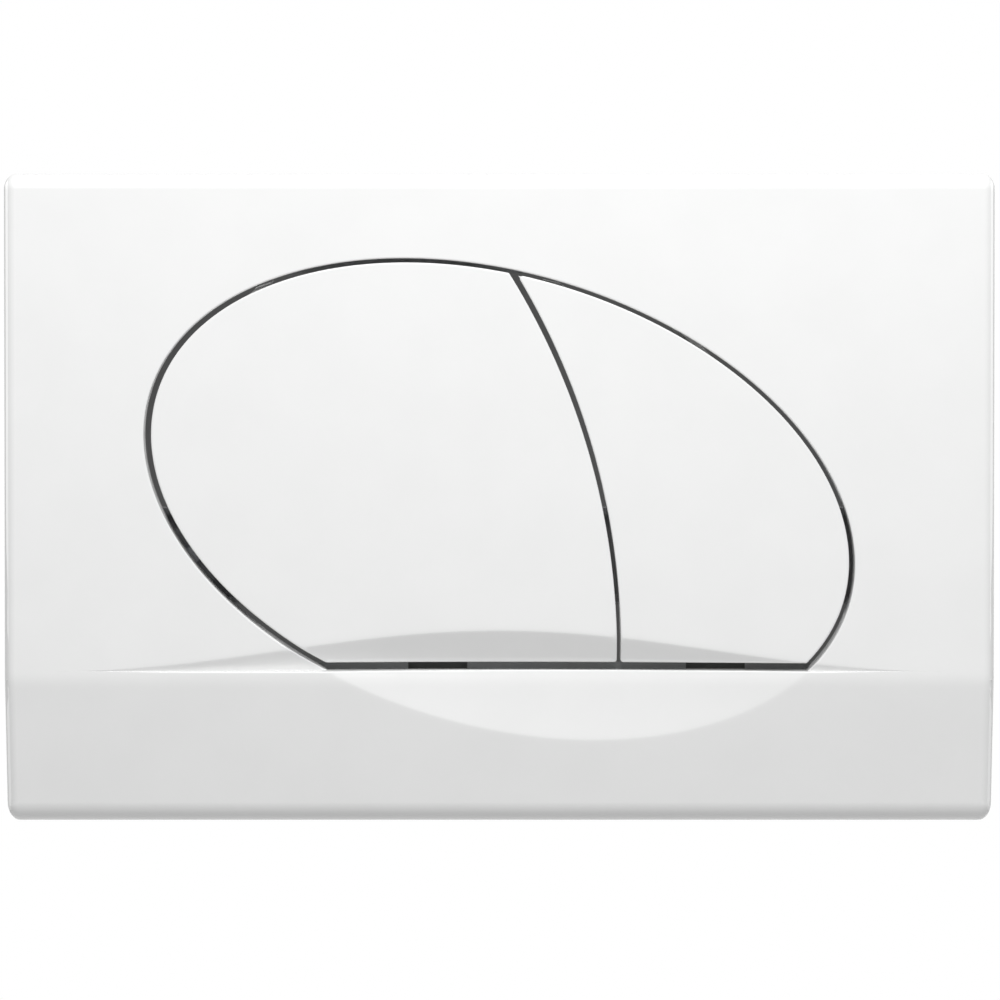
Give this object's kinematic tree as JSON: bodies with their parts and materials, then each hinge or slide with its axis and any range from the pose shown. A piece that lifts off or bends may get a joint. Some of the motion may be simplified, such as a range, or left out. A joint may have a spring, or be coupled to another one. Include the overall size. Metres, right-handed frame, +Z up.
{
  "type": "dual flush plate",
  "caption": "Wall plate for a concealed cistern, with a large and a small rocking flush button in an oval opening and push rods on a mounting frame behind it.",
  "frame": {"origin": "centre of the cover's rear rim, on the wall's face", "axes": "+X to the right and +Z up as the plate is seen from the room, +Y into the wall"},
  "size_m": [0.245, 0.099, 0.161],
  "materials": {
    "white_gloss": "smooth gloss",
    "frame_plastic": "fine satin",
    "bush_plastic": "smooth satin",
    "steel": "ground",
    "zinc_steel": "zinc plated",
    "spring_steel": "drawn wire",
    "buffer_rubber": "matte"
  },
  "bodies": {
    "plate": {"cover_plate": "white_gloss", "large_hinge_pin": "steel", "small_hinge_pin": "steel", "mounting_frame": "frame_plastic", "large_guide_bush": "bush_plastic", "small_guide_bush": "bush_plastic", "large_return_spring": "spring_steel", "small_return_spring": "spring_steel", "left_fixing_rod": "zinc_steel", "right_fixing_rod": "zinc_steel", "left_fixing_nut": "bush_plastic", "right_fixing_nut": "bush_plastic", "left_spacer_sleeve": "frame_plastic", "right_spacer_sleeve": "frame_plastic"},
    "large_button": {"large_button": "white_gloss", "large_button_buffers": "buffer_rubber"},
    "small_button": {"small_button": "white_gloss", "small_button_buffer": "buffer_rubber"},
    "large_rod": {"large_push_rod": "zinc_steel", "large_rod_head": "bush_plastic", "large_rod_locknut": "zinc_steel", "large_rod_clip": "spring_steel"},
    "small_rod": {"small_push_rod": "zinc_steel", "small_rod_head": "bush_plastic", "small_rod_locknut": "zinc_steel", "small_rod_clip": "spring_steel"}
  },
  "joints": [
    {"name": "large_button_hinge", "type": "hinge", "parent": "plate", "child": "large_button", "pos_m": [-0.035, -0.0058, 0.06452], "axis": [1, 0, 0], "range_deg": [0, 3.5]},
    {"name": "small_button_hinge", "type": "hinge", "parent": "plate", "child": "small_button", "pos_m": [0.034, -0.0058, 0.06452], "axis": [1, 0, 0], "range_deg": [0, 3.5]},
    {"name": "large_rod_slide", "type": "slide", "parent": "plate", "child": "large_rod", "axis": [0, 1, 0], "range_m": [0, 0.0049], "stiffness_N_per_m": 250, "springref_m": -0.006, "deforming": ["large_return_spring"]},
    {"name": "small_rod_slide", "type": "slide", "parent": "plate", "child": "small_rod", "axis": [0, 1, 0], "range_m": [0, 0.0049], "stiffness_N_per_m": 250, "springref_m": -0.006, "deforming": ["small_return_spring"]}
  ],
  "couplings": [
    {"joint": "large_rod_slide", "follows": "large_button_hinge", "m_per_rad": 0.08},
    {"joint": "small_rod_slide", "follows": "small_button_hinge", "m_per_rad": 0.08}
  ]
}
